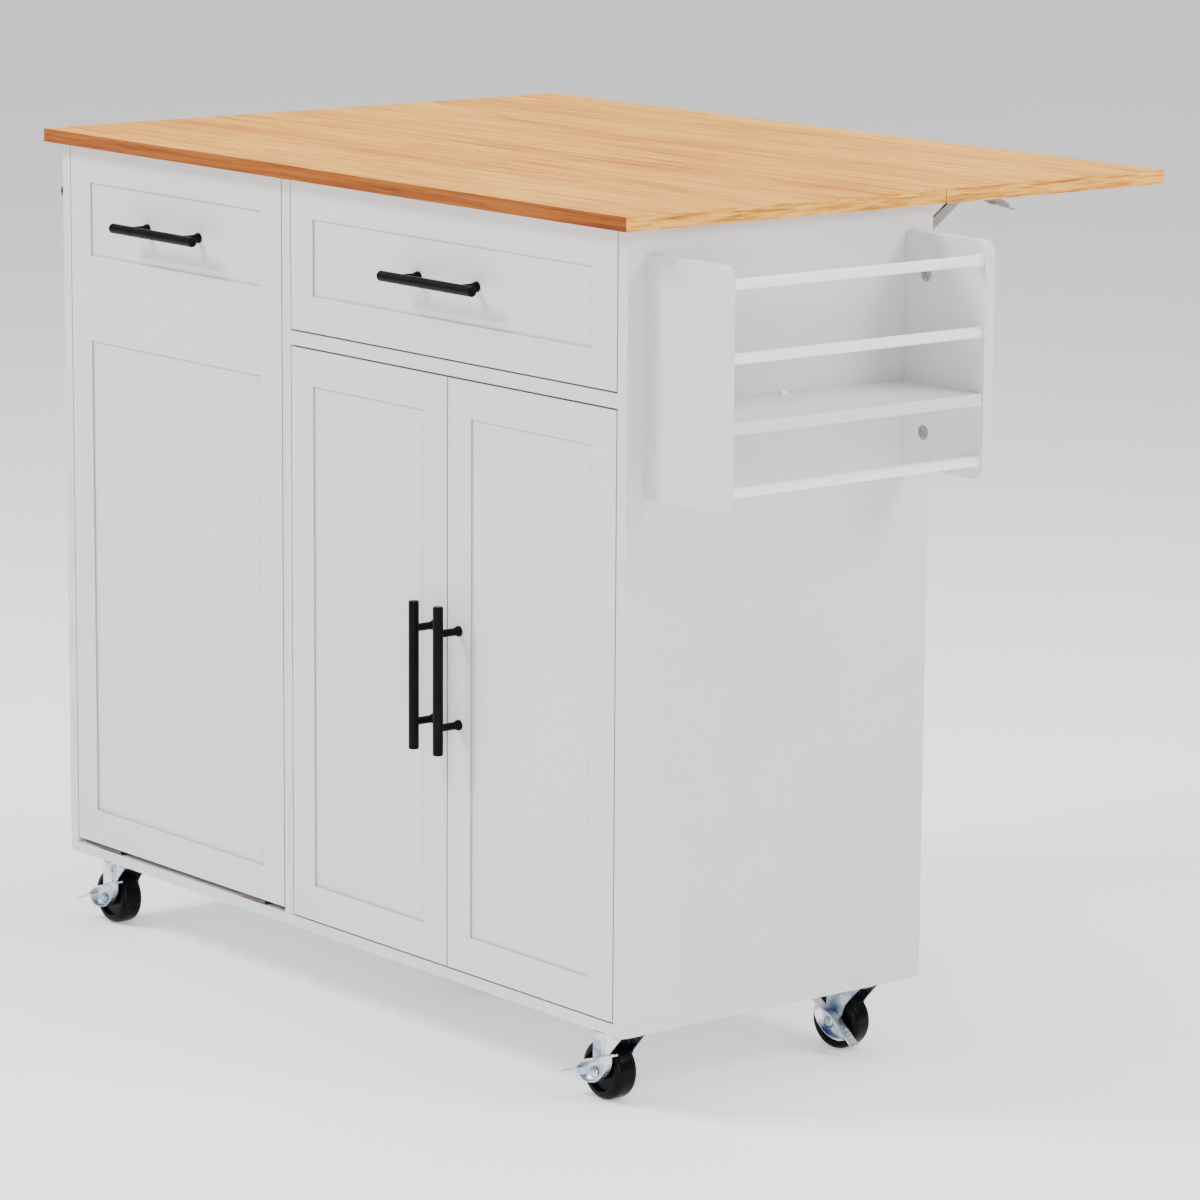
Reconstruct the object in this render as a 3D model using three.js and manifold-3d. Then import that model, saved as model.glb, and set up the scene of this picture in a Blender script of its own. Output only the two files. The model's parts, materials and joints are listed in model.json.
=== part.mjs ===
// A kitchen island on casters with a drop leaf worktop, a tilt-out trash cabinet, a drawer,
// a two-door cupboard, a spice rack on its right side and a towel bar on its left.
// Millimetres. X runs to the right along the front, Y from the front to the back, Z up.
// While the pieces are laid out, x = 0 is the middle of the body, y = 0 the plane of its fronts
// and z = 0 the floor.
import * as THREE from 'three';
import { mergeVertices } from 'three/addons/utils/BufferGeometryUtils.js';
import Module from 'manifold-3d';

const wasm = await Module();
wasm.setup();

// ---- Driving dimensions ------------------------------------------------------------------

// The body: boards, and the gaps between them.
const bodyWidth = 1020;
const bodyDepth = 405;
const bodyHeight = 825; // underside of the base board to underside of the worktop
const panelThickness = 15;
const baseThickness = 12;
const backThickness = 5;
const backRailHeight = 140;
const frontRailDepth = 60;
const seam = 0.2; // left between two boards that meet
const trashBayWidth = 415; // clear width between the left side panel and the divider
const drawerOpeningHeight = 165;

// The worktop and its drop leaf.
const topThickness = 15;
const sideOverhang = 15;
const frontOverhang = 15;
const rearOverhang = 4;
const leafDepth = 313;
const leafGap = 0.8;

// Doors and drawer front, set in flush with the edges of the panels.
const frontThickness = 15;
const frontGap = 2;
const tiltGap = 6; // under the trash door, where its hinges show
const grooveInset = 39;
const grooveWidth = 8;
const grooveDepth = 2.2;
const grooveFloor = 1; // flat width at the foot of the groove's steep outer wall

// Bar handles.
const handleLength = 158;
const handlePostSpacing = 100;
const handleBarRadius = 5.5;
const handlePostRadius = 4;
const handleFootRadius = 5.5;
const handleFootHeight = 3;
const handleReach = 28; // from the face of the front to the middle of the bar
const doorHandleInset = 20; // from a door's free edge to its handle
const fitting = 0.3; // between a metal fitting and what it is screwed to

// Drawer box, and the cleats its lower edges run on.
const drawerBoardThickness = 12;
const drawerBottomThickness = 5;
const drawerBoxHeight = 120;
const drawerRearRoom = 20; // from the drawer box to the back panel
const drawerBoxLift = 0.5; // from the cleats up to the drawer box
const drawerBoxPlay = 4; // beside the drawer box, on each side
const cleatWidth = 18;

// Shelf and hinges of the cupboard.
const shelfHeight = 300; // from the base board up to the underside of the shelf
const shelfSetback = 55;
const hingeFromEnd = 95; // from a door's end to the middle of a hinge
const hingeArmWidth = 14;
const hingeArmLength = 46;
const hingeArmThickness = 10;
const hingeStripThickness = 3;

// Trash cabinet: butt hinges under the door, and the tray that carries the bin.
const buttHingeLength = 48;
const buttHingeInset = 38; // from the door's edge to the hinge
const knuckleRadius = 2.4;
const hingePinRadius = 1.2;
const knuckleGap = 0.4;
const leafPlateThickness = 1.2;
const leafPlateDepth = 12;
const knuckleSetback = 2.6; // from the front plane to the hinge pin
const trayBoardThickness = 12;
const trayLift = 12; // from the door's lower edge up to the tray
const trayRearRoom = 70; // from the tray to the back panel
const trayFrontHeight = 290;
const trayBackHeight = 180;
const trayPlay = 10; // beside the tray, on each side
const tiltAngle = 32;
const stopSize = 18;
const stopGap = 2.5;

// Spice rack.
const rackInset = 23.5; // from the front and the back of the body to the rack
const rackHeight = 245;
const rackDepth = 120.5;
const rackDrop = 26; // from the worktop down to the rack
const rackBoardThickness = 13;
const rackCornerRadius = 14;
const rackShelfThickness = 12;
const rackShelfUp = 77.5; // from the rack's lower edge to the underside of the shelf
const rackShelfSetback = 2;
const rodRadius = 5.7;
const rodSetback = 10.3; // from the rack's front edge to the middle of a rod
const rodHeights = { lower: 19, middle: 151.5, upper: 225 }; // from the rack's lower edge

// Towel bar.
const towelBarInset = 37.5; // from the front and the back of the body to the bar's ends
const towelBarRadius = 6.5;
const towelBallRadius = 9.5;
const towelPostRadius = 5;
const towelFlangeRadius = 13;
const towelFlangeThickness = 4;
const towelStandOff = 45;
const towelDrop = 62.5; // from the worktop down to the bar
const towelPostInset = 32;

// Folding brackets under the leaf.
const bracketInset = 100; // from the side of the body to the middle of a bracket
const bracketPivotDrop = 12; // below the underside of the leaf
const bracketPivotOut = 13; // behind the body
const bracketSheet = 2;
const legWidth = 24;
const legBase = 2.5;
const legFootBelowStrut = 20;
const strutPivotDrop = 80; // below the arm's pivot
const strutLength = 140;
const strutWidth = 10;
const strutThickness = 4;
const armWidth = 18;
const armDepth = 16;
const armTail = 8; // past the pivot, towards the body
const armReach = 228;
const bracketPinRadius = 2.5;
const pinClearance = 0.3; // round any pin in its bore
const notchPlay = 0.6; // beside the strut's pin in the arm's notch
const sliderRadius = 2.2;
const sliderLength = 13;
const leverPivotAlong = 146; // along the arm, from its pivot
const leverTail = 32;
const leverTailHeight = 6.5;
const leverDrop = 17;
const leverPlay = 0.4;
const leverTabWidth = 10;
const leverStubRadius = 2;

// Casters: four braked ones at the corners and a plain one under the middle.
const casterHeight = 84;
const wheelRadius = 31.5;
const wheelWidth = 28;
const casterTrail = 13;
const casterSideInset = 54; // from the side of the body to the swivel
const casterFrontInset = 38; // from the front to the swivel
const casterRearInset = 48; // from the back to the swivel
const middleCasterShift = 15;
const plateLength = 62;
const plateWidth = 50;
const plateThickness = 2.5;
const raceRadius = 18;
const raceHeight = 4.5;
const forkSheet = 2.2;
const forkSideGap = 1.4;
const forkNose = 28; // in front of the swivel
const forkTail = 6; // behind the axle
const forkEye = 8; // rounding of the leg's lower end
const forkCorner = 6; // rounding of the head's front corners
const forkBend = 17; // in front of the axle, where the leg's edge starts to curve forwards
const forkBendRise = 16; // of that place over the axle
const axleRadius = 4;
const axleClearance = 0.4;
const axleHeadRadius = 6.5;
const axleHeadThickness = 3;
const brakeSheet = 2;
const brakeRim = 5; // how far the rim of the pedal's cup stands out
const brakeStripWidth = 12;
const casterTurns = { front_left: 0, front_right: 0, rear_left: 15, rear_right: 8, middle: 180 };
const pedalTurns = { front_left: 0, front_right: 0, rear_left: 0, rear_right: 60 }; // degrees

const roundSegments = 24;
const smallSegments = 12;

// ---- Planes and places that follow from them ----------------------------------------------

const leftFace = -bodyWidth / 2;
const rightFace = bodyWidth / 2;
const leftInner = leftFace + panelThickness;
const rightInner = rightFace - panelThickness;
const dividerLeft = leftInner + trashBayWidth;
const dividerRight = dividerLeft + panelThickness;

const baseUnder = casterHeight;
const deck = baseUnder + baseThickness;
const topUnder = baseUnder + bodyHeight;
const railTop = topUnder - drawerOpeningHeight;
const railUnder = railTop - panelThickness;

const backFront = bodyDepth - panelThickness - backThickness;
const topRear = bodyDepth + rearOverhang;
const leafFront = topRear + leafGap;
const frontBack = frontThickness + frontGap; // first plane behind the closed fronts

const fronts = {
  trash: {
    x0: leftInner + frontGap,
    x1: dividerLeft - frontGap,
    z0: deck + tiltGap,
    z1: topUnder - frontGap,
  },
  drawer: {
    x0: dividerRight + frontGap,
    x1: rightInner - frontGap,
    z0: railTop + frontGap,
    z1: topUnder - frontGap,
  },
};
const drawerMiddle = (dividerRight + rightInner) / 2;
const doorSplit = drawerMiddle;
const doorZ = { z0: deck + frontGap, z1: railUnder - frontGap };
fronts.leftDoor = { x0: dividerRight + frontGap, x1: doorSplit - frontGap / 2, ...doorZ };
fronts.rightDoor = { x0: doorSplit + frontGap / 2, x1: rightInner - frontGap, ...doorZ };

// ---- Materials ----------------------------------------------------------------------------

function finish(color, roughness, metalness = 0) {
  return new THREE.MeshStandardMaterial({ color, roughness, metalness });
}

const finishes = {
  panel: () => finish(0xd2d2d4, 0.5),
  front: () => finish(0xd3d3d8, 0.45),
  inside: () => finish(0xe2e2e2, 0.6),
  oak: () => finish(0xd9a566, 0.45),
  black: () => finish(0x141414, 0.4, 0.6),
  wheel: () => finish(0x0c0c0e, 0.25),
  zinc: () => finish(0xb9c0c6, 0.35, 0.9),
  bronze: () => finish(0x5a4334, 0.45, 0.8),
  steel: () => finish(0xa9abb0, 0.4, 0.8),
  rod: () => finish(0xe6e6e8, 0.35),
  plastic: () => finish(0xf0f0f0, 0.5),
};

// ---- Shapes -------------------------------------------------------------------------------

function solidOf(geometry) {
  const bare = geometry.clone();
  bare.deleteAttribute('normal');
  bare.deleteAttribute('uv');
  const merged = mergeVertices(bare, 1e-4);
  return new wasm.Manifold(new wasm.Mesh({
    numProp: 3,
    vertProperties: new Float32Array(merged.attributes.position.array),
    triVerts: new Uint32Array(merged.index.array),
  }));
}

function geometryOf(solid) {
  const mesh = solid.getMesh();
  const geometry = new THREE.BufferGeometry();
  geometry.setAttribute('position', new THREE.BufferAttribute(new Float32Array(mesh.vertProperties), 3));
  geometry.setIndex(new THREE.BufferAttribute(new Uint32Array(mesh.triVerts), 1));
  geometry.computeVertexNormals();
  return geometry;
}

function joined(...geometries) {
  return geometryOf(geometries.map(solidOf).reduce((whole, piece) => whole.add(piece)));
}

function cut(geometry, ...tools) {
  return geometryOf(tools.map(solidOf).reduce((whole, tool) => whole.subtract(tool), solidOf(geometry)));
}

function block(x0, x1, y0, y1, z0, z1) {
  const geometry = new THREE.BoxGeometry(x1 - x0, y1 - y0, z1 - z0);
  return geometry.translate((x0 + x1) / 2, (y0 + y1) / 2, (z0 + z1) / 2);
}

// A round bar from one point to another.
function bar(from, to, radius, segments = smallSegments, endRadius = radius) {
  const a = new THREE.Vector3(...from);
  const b = new THREE.Vector3(...to);
  const along = b.clone().sub(a);
  const geometry = new THREE.CylinderGeometry(endRadius, radius, along.length(), segments);
  const turn = new THREE.Quaternion().setFromUnitVectors(new THREE.Vector3(0, 1, 0), along.normalize());
  return geometry.applyQuaternion(turn).translate(...a.add(b).multiplyScalar(0.5).toArray());
}

// An outline drawn in the YZ plane, as thick along X as from x0 to x1.
function sideProfile(shape, x0, x1, segments = 4) {
  const settings = { depth: x1 - x0, bevelEnabled: false, curveSegments: segments };
  const geometry = new THREE.ExtrudeGeometry(shape, settings);
  return geometry.applyMatrix4(new THREE.Matrix4().set(0, 0, 1, x0, 1, 0, 0, 0, 0, 1, 0, 0, 0, 0, 0, 1));
}

// An outline drawn in the XZ plane, as thick along Y as from y0 to y1.
function frontProfile(shape, y0, y1, segments = 4) {
  const settings = { depth: y1 - y0, bevelEnabled: false, curveSegments: segments };
  const geometry = new THREE.ExtrudeGeometry(shape, settings);
  return geometry.applyMatrix4(new THREE.Matrix4().set(1, 0, 0, 0, 0, 0, -1, y1, 0, 1, 0, 0, 0, 0, 0, 1));
}

// An outline drawn in the XY plane, as high as from z0 to z1.
function plan(shape, z0, z1, segments = 6) {
  const settings = { depth: z1 - z0, bevelEnabled: false, curveSegments: segments };
  const geometry = new THREE.ExtrudeGeometry(shape, settings);
  return geometry.translate(0, 0, z0);
}

const outline = (points) => new THREE.Shape(points.map(([x, y]) => new THREE.Vector2(x, y)));

function place(parent, name, geometry, material) {
  const mesh = new THREE.Mesh(geometry, material);
  mesh.name = name;
  parent.add(mesh);
  return mesh;
}

// ---- Body ---------------------------------------------------------------------------------

function body() {
  const group = new THREE.Group();
  const upright = (x0, x1, depth) => block(x0, x1, 0, depth, deck + seam, topUnder - seam);

  place(group, 'base_board', block(leftFace, rightFace, 0, bodyDepth, baseUnder, deck), finishes.panel());
  place(
    group, 'left_side_panel',
    joined(upright(leftFace, leftInner, bodyDepth), tiltStop(leftInner, 1)), finishes.panel());
  place(
    group, 'right_side_panel',
    joined(upright(rightInner, rightFace, bodyDepth), drawerCleat(rightInner, -1)), finishes.panel());
  place(
    group, 'divider_panel',
    joined(
      upright(dividerLeft, dividerRight, backFront - seam),
      tiltStop(dividerLeft, -1),
      drawerCleat(dividerRight, 1)),
    finishes.panel());
  place(
    group, 'middle_rail',
    block(dividerRight + seam, rightInner - seam, 0, frontRailDepth, railUnder, railTop), finishes.panel());
  place(
    group, 'back_rail',
    block(
      leftInner + seam, rightInner - seam, bodyDepth - panelThickness + seam, bodyDepth,
      topUnder - backRailHeight, topUnder - seam),
    finishes.panel());
  place(
    group, 'back_panel',
    block(
      leftInner + seam, rightInner - seam, backFront, backFront + backThickness,
      deck + seam, topUnder - seam),
    finishes.inside());
  const shelfUnder = deck + shelfHeight;
  place(
    group, 'cupboard_shelf',
    block(
      dividerRight + seam, rightInner - seam, frontBack + shelfSetback, backFront - seam,
      shelfUnder, shelfUnder + panelThickness),
    finishes.inside());

  place(
    group, 'worktop',
    block(
      leftFace - sideOverhang, rightFace + sideOverhang, -frontOverhang, topRear,
      topUnder, topUnder + topThickness),
    finishes.oak());
  return group;
}

// A cleat level with the middle rail, for one lower edge of the drawer box.
function drawerCleat(face, inward) {
  const [x0, x1] = [face - inward, face + inward * cleatWidth].sort((a, b) => a - b);
  return block(x0, x1, frontRailDepth + seam, backFront - seam, railUnder, railTop);
}

// A block on the side of the trash bay. The tray's rear upper edge meets it when tilted out.
function tiltStop(face, inward) {
  const armY = tray.y1 - tiltAxis.y;
  const armZ = tray.z0 + trayBackHeight - tiltAxis.z;
  const reach = Math.hypot(armY, armZ);
  const swung = Math.atan2(armZ, armY) + THREE.MathUtils.degToRad(tiltAngle);
  const angle = swung + (stopGap + stopSize) / reach;
  const y = tiltAxis.y + reach * Math.cos(angle);
  const z = tiltAxis.z + reach * Math.sin(angle);
  const [x0, x1] = [face - inward, face + inward * stopSize].sort((a, b) => a - b);
  return block(x0, x1, y - stopSize / 2, y + stopSize / 2, z - stopSize / 2, z + stopSize / 2);
}

// ---- Doors and drawer front -----------------------------------------------------------------

// A rectangular groove in a front, given by its outer edges. Its outer wall is steep, and its
// inner wall slopes back up to the face.
function groove({ x0, x1, z0, z1 }) {
  const field = new THREE.BoxGeometry(2, grooveDepth, 2).translate(0, grooveDepth / 2, 0);
  const corner = field.attributes.position;
  for (let i = 0; i < corner.count; i += 1) {
    const inset = corner.getY(i) < grooveDepth / 2 ? grooveWidth : grooveFloor;
    corner.setX(i, corner.getX(i) < 0 ? x0 + inset : x1 - inset);
    corner.setZ(i, corner.getZ(i) < 0 ? z0 + inset : z1 - inset);
  }
  return cut(block(x0, x1, 0, grooveDepth, z0, z1), field);
}

const insetFrom = ({ x0, x1, z0, z1 }) => ({
  x0: x0 + grooveInset, x1: x1 - grooveInset, z0: z0 + grooveInset, z1: z1 - grooveInset,
});

function panelOf({ x0, x1, z0, z1 }) {
  return block(x0, x1, 0, frontThickness, z0, z1);
}

// A bar handle on two posts. It is drawn lying along X, its feet on y = 0.
function handle() {
  const half = handleLength / 2;
  const posts = [-1, 1].flatMap((side) => {
    const x = side * handlePostSpacing / 2;
    return [
      bar([x, -fitting, 0], [x, -handleReach, 0], handlePostRadius),
      bar([x, -fitting, 0], [x, -handleFootHeight, 0], handleFootRadius, smallSegments, handlePostRadius),
    ];
  });
  return joined(bar([-half, -handleReach, 0], [half, -handleReach, 0], handleBarRadius), ...posts);
}

function addHandle(group, name, x, z, upright = false) {
  const mesh = place(group, name, handle(), finishes.black());
  mesh.position.set(x, 0, z);
  mesh.rotation.y = upright ? Math.PI / 2 : 0;
}

// Two concealed hinge arms on one strip, screwed to the side of the cupboard behind a door.
function doorHinges(face, inward) {
  const reach = (out) => [face + inward * fitting, face + inward * out].sort((a, b) => a - b);
  const y0 = frontThickness + fitting;
  const y1 = y0 + hingeArmLength;
  const heights = [doorZ.z0 + hingeFromEnd, doorZ.z1 - hingeFromEnd];
  const arms = heights.map((z) => block(
    ...reach(hingeArmThickness), y0, y1, z - hingeArmWidth / 2, z + hingeArmWidth / 2));
  const strip = block(
    ...reach(hingeStripThickness), y0 + hingeArmLength / 2, y1,
    heights[0] - hingeArmWidth, heights[1] + hingeArmWidth);
  return joined(strip, ...arms);
}

function cupboardDoor(side, front) {
  const group = new THREE.Group();
  place(group, `${side}_door`, cut(panelOf(front), groove(insetFrom(front))), finishes.front());
  const [hinged, free, inward] = side === 'left' ? [dividerRight, front.x1, 1] : [rightInner, front.x0, -1];
  place(group, `${side}_door_hinges`, doorHinges(hinged, inward), finishes.zinc());
  addHandle(group, `${side}_door_handle`, free - inward * doorHandleInset, (front.z0 + front.z1) / 2, true);
  return group;
}

// ---- Drawer -------------------------------------------------------------------------------

function drawer() {
  const group = new THREE.Group();
  const front = fronts.drawer;
  const t = drawerBoardThickness;
  const x0 = dividerRight + drawerBoxPlay;
  const x1 = rightInner - drawerBoxPlay;
  const y0 = frontThickness + seam;
  const y1 = backFront - drawerRearRoom;
  const z0 = railTop + drawerBoxLift;
  const z1 = z0 + drawerBoxHeight;

  place(group, 'drawer_front', cut(panelOf(front), groove(insetFrom(front))), finishes.front());
  addHandle(group, 'drawer_handle', (front.x0 + front.x1) / 2, (front.z0 + front.z1) / 2);
  const inside = block(x0 + t, x1 - t, y0 + t, y1 - t, z0 + drawerBottomThickness, z1 + 1);
  place(group, 'drawer_box', cut(block(x0, x1, y0, y1, z0, z1), inside), finishes.inside());

  return group;
}

// ---- Trash cabinet ------------------------------------------------------------------------

const tiltAxis = { y: knuckleSetback, z: deck + tiltGap / 2 };
const buttHinges = {
  left: fronts.trash.x0 + buttHingeInset + buttHingeLength / 2,
  right: fronts.trash.x1 - buttHingeInset - buttHingeLength / 2,
};
const tray = {
  x0: leftInner + trayPlay,
  x1: dividerLeft - trayPlay,
  y0: frontThickness + seam,
  y1: backFront - trayRearRoom,
  z0: fronts.trash.z0 + trayLift,
};

// A barrel of a butt hinge and the leaf beside it. side is 1 for the leaf above the pin, -1 below.
function hingeLeaf(x, from, to, side) {
  const { y, z } = tiltAxis;
  const face = z + side * (tiltGap / 2 - fitting);
  const [z0, z1] = [face - side * leafPlateThickness, face].sort((a, b) => a - b);
  const barrel = bar([x + from, y, z], [x + to, y, z], knuckleRadius, smallSegments);
  return joined(barrel, block(x + from, x + to, y, y + leafPlateDepth, z0, z1));
}

function trashDoor() {
  const group = new THREE.Group();
  const front = fronts.trash;
  const upper = { ...insetFrom(front), z0: fronts.drawer.z0 + grooveInset };
  const lower = { ...insetFrom(front), z1: doorZ.z1 - grooveInset };
  place(group, 'trash_door', cut(panelOf(front), groove(upper), groove(lower)), finishes.front());
  const handleZ = (fronts.drawer.z0 + fronts.drawer.z1) / 2;
  addHandle(group, 'trash_door_handle', (front.x0 + front.x1) / 2, handleZ);

  const { y, z } = tiltAxis;
  const third = buttHingeLength / 3;
  for (const [side, x] of Object.entries(buttHinges)) {
    const leaf = cut(
      hingeLeaf(x, -third / 2 + knuckleGap, third / 2 - knuckleGap, 1),
      bar([x - third, y, z], [x + third, y, z], hingePinRadius + knuckleGap, 8));
    place(group, `${side}_trash_hinge_door_leaf`, leaf, finishes.bronze());
  }

  const t = trayBoardThickness;
  const sideShape = outline([
    [tray.y0, tray.z0], [tray.y1, tray.z0],
    [tray.y1, tray.z0 + trayBackHeight], [tray.y0, tray.z0 + trayFrontHeight],
  ]);
  const hollow = block(
    tray.x0 + t, tray.x1 - t, tray.y0 - 1, tray.y1 - t, tray.z0 + t, tray.z0 + trayFrontHeight + 1);
  place(group, 'bin_tray', cut(sideProfile(sideShape, tray.x0, tray.x1), hollow), finishes.inside());
  return group;
}

function trashHinges() {
  const group = new THREE.Group();
  const { y, z } = tiltAxis;
  const third = buttHingeLength / 3;
  for (const [side, x] of Object.entries(buttHinges)) {
    const leaf = joined(
      hingeLeaf(x, -buttHingeLength / 2, -third / 2, -1),
      hingeLeaf(x, third / 2, buttHingeLength / 2, -1),
      bar([x - third, y, z], [x + third, y, z], hingePinRadius, 8));
    place(group, `${side}_trash_hinge_base_leaf`, leaf, finishes.bronze());
  }
  return group;
}

// ---- Spice rack and towel bar -----------------------------------------------------------------

function spiceRack() {
  const group = new THREE.Group();
  const x0 = rightFace + seam;
  const x1 = rightFace + rackDepth;
  const z1 = topUnder - rackDrop;
  const z0 = z1 - rackHeight;
  const yFront = rackInset;
  const yRear = bodyDepth - rackInset;
  const r = rackCornerRadius;
  const t = rackBoardThickness;

  const side = new THREE.Shape();
  side.moveTo(x0, z0);
  side.lineTo(x1 - r, z0);
  side.absarc(x1 - r, z0 + r, r, -Math.PI / 2, 0);
  side.lineTo(x1, z1 - r);
  side.absarc(x1 - r, z1 - r, r, 0, Math.PI / 2);
  side.lineTo(x0, z1);
  const frontInner = yFront + t;
  const rearInner = yRear - t;
  place(group, 'rack_front_side', frontProfile(side, yFront, frontInner), finishes.panel());
  place(group, 'rack_rear_side', frontProfile(side, rearInner, yRear), finishes.panel());

  const shelfZ = z0 + rackShelfUp;
  place(
    group, 'rack_shelf',
    block(
      x0, x1 - rackShelfSetback, frontInner + seam, rearInner - seam,
      shelfZ, shelfZ + rackShelfThickness),
    finishes.panel());
  const rodX = x1 - rodSetback;
  for (const [name, up] of Object.entries(rodHeights)) {
    const rod = bar([rodX, frontInner + seam, z0 + up], [rodX, rearInner - seam, z0 + up], rodRadius, 16);
    place(group, `rack_${name}_rod`, rod, finishes.rod());
  }
  return group;
}

function towelBar() {
  const group = new THREE.Group();
  const x = leftFace - towelStandOff;
  const z = topUnder - towelDrop;
  const y0 = towelBarInset;
  const y1 = bodyDepth - towelBarInset;
  const posts = [y0 + towelPostInset, y1 - towelPostInset].flatMap((y) => [
    bar([leftFace - fitting, y, z], [x, y, z], towelPostRadius),
    bar([leftFace - fitting, y, z], [leftFace - towelFlangeThickness, y, z], towelFlangeRadius, 16),
  ]);
  const balls = [y0, y1].map((y) => new THREE.SphereGeometry(towelBallRadius, 12, 8).translate(x, y, z));
  const whole = joined(bar([x, y0, z], [x, y1, z], towelBarRadius), ...balls, ...posts);
  place(group, 'towel_bar', whole, finishes.black());
  return group;
}

// ---- Drop leaf and its folding brackets ---------------------------------------------------------

const armPivot = { y: bodyDepth + bracketPivotOut, z: topUnder - bracketPivotDrop };
const strutPivot = { y: armPivot.y, z: armPivot.z - strutPivotDrop };
const strutAngle = Math.asin(strutPivotDrop / strutLength);
const bracketSides = { left: leftFace + bracketInset, right: rightFace - bracketInset };
const pinBore = bracketPinRadius + pinClearance;
const legInner = legWidth / 2 - bracketSheet;

// The leg that is screwed to the back rail, with the two pivot pins in its cheeks.
function bracketLeg(x) {
  const wall = bodyDepth + fitting;
  const foot = strutPivot.z - legFootBelowStrut;
  const head = armPivot.z + bracketPivotDrop / 2;
  const waist = wall + legBase + bracketSheet;
  const ear = bracketPinRadius * 3;
  const cheek = outline([
    [wall, foot], [waist, foot], [waist, strutPivot.z - 2 * ear], [strutPivot.y + ear, strutPivot.z - ear],
    [strutPivot.y + ear, strutPivot.z + ear], [waist, strutPivot.z + 2 * ear], [waist, armPivot.z - 2 * ear],
    [armPivot.y + ear, armPivot.z - ear], [armPivot.y + ear, head], [wall, head],
  ]);
  const half = legWidth / 2;
  return joined(
    block(x - half, x + half, wall, wall + legBase, foot, head),
    sideProfile(cheek, x - half, x - legInner),
    sideProfile(cheek, x + legInner, x + half),
    bar([x - half, armPivot.y, armPivot.z], [x + half, armPivot.y, armPivot.z], bracketPinRadius),
    bar([x - half, strutPivot.y, strutPivot.z], [x + half, strutPivot.y, strutPivot.z], bracketPinRadius));
}

// The channel that is screwed under the leaf and turns on the leg's upper pin.
function bracketArm(x) {
  const { y, z } = armPivot;
  const half = armWidth / 2;
  const top = z + bracketPivotDrop - fitting;
  const low = top - armDepth;
  const y0 = y - armTail;
  const y1 = y + armReach;
  const nose = armDepth / 2;
  const wall = outline([[y0, low], [y1 - nose, low], [y1, top - bracketSheet], [y1, top], [y0, top]]);
  const channel = joined(
    block(x - half, x + half, y0, y1, top - bracketSheet, top),
    sideProfile(wall, x - half, x - half + bracketSheet),
    sideProfile(wall, x + half - bracketSheet, x + half));
  const notchHalf = pinBore + notchPlay;
  const notchY = y + strutPivotDrop; // the folded arm straddles the strut's lower pin here
  const bored = cut(
    channel,
    bar([x - half - 1, y, z], [x + half + 1, y, z], pinBore),
    block(x - half - 1, x + half + 1, notchY - notchHalf, notchY + notchHalf, low - 1, z + notchHalf));
  const outward = Math.sign(x);
  const stub = bar(
    [x + outward * (half - bracketSheet / 2), y + leverPivotAlong, z],
    [x + outward * (half + 2 * bracketSheet), y + leverPivotAlong, z], leverStubRadius, 8);
  return joined(bored, stub);
}

// The strut, with its slider pin at the upper end, drawn lying along Y from its lower pin.
function bracketStrut() {
  const r = strutWidth / 2;
  const shape = new THREE.Shape();
  shape.absarc(strutLength, 0, r, -Math.PI / 2, Math.PI / 2);
  shape.absarc(0, 0, r, Math.PI / 2, 1.5 * Math.PI);
  const half = strutThickness / 2;
  const blade = cut(sideProfile(shape, -half, half, 8), bar([-legWidth, 0, 0], [legWidth, 0, 0], pinBore));
  const slider = bar([-sliderLength / 2, strutLength, 0], [sliderLength / 2, strutLength, 0], sliderRadius);
  return joined(blade, slider);
}

// The release lever turns on the stub on the arm's outer side. Its tail is bent outwards.
function releaseLever(x) {
  const outward = Math.sign(x);
  const y = armPivot.y + leverPivotAlong;
  const z = armPivot.z;
  const inner = armWidth / 2 + leverPlay;
  const reach = (from, to) => [x + outward * from, x + outward * to].sort((a, b) => a - b);
  const low = armDepth - bracketPivotDrop; // of the arm's edges below the pivot
  const nose = 2 * low;
  const neck = 1.5 * bracketSheet + low;
  const tail = (height) => [y + leverTail, z - leverDrop + height];
  const cheek = outline([
    [y - nose, z + low], [y - nose, z - low], [y + low, z - neck - bracketSheet], tail(0),
    tail(leverTailHeight), [y + nose, z + low / 2],
  ]);
  const tab = outline([
    [y + low, z - neck], [y + low, z - neck - bracketSheet], tail(0), tail(bracketSheet),
  ]);
  const lever = joined(
    sideProfile(cheek, ...reach(inner, inner + bracketSheet)),
    sideProfile(tab, ...reach(inner, inner + leverTabWidth)));
  const bore = leverStubRadius + pinClearance;
  return cut(lever, bar([x, y, z], [x + outward * armWidth, y, z], bore, 8));
}

function dropLeaf() {
  const group = new THREE.Group();
  place(
    group, 'drop_leaf',
    block(
      leftFace - sideOverhang, rightFace + sideOverhang, leafFront, leafFront + leafDepth,
      topUnder, topUnder + topThickness),
    finishes.oak());
  for (const [side, x] of Object.entries(bracketSides)) {
    place(group, `${side}_bracket_leg`, bracketLeg(x), finishes.steel());
    place(group, `${side}_bracket_arm`, bracketArm(x), finishes.steel());
    const strut = place(group, `${side}_bracket_strut`, bracketStrut(), finishes.steel());
    strut.position.set(x, strutPivot.y, strutPivot.z);
    strut.rotation.x = strutAngle;
    place(group, `${side}_release_lever`, releaseLever(x), finishes.steel());
  }
  return group;
}

// ---- Casters ------------------------------------------------------------------------------

const forkTop = casterHeight - seam - plateThickness - raceHeight - fitting;
const legInside = wheelWidth / 2 + forkSideGap;
const legOutside = legInside + forkSheet;

const swivels = {
  front_left: [leftFace + casterSideInset, casterFrontInset],
  front_right: [rightFace - casterSideInset, casterFrontInset],
  rear_left: [leftFace + casterSideInset, bodyDepth - casterRearInset],
  rear_right: [rightFace - casterSideInset, bodyDepth - casterRearInset],
  middle: [middleCasterShift, bodyDepth / 2],
};

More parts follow.
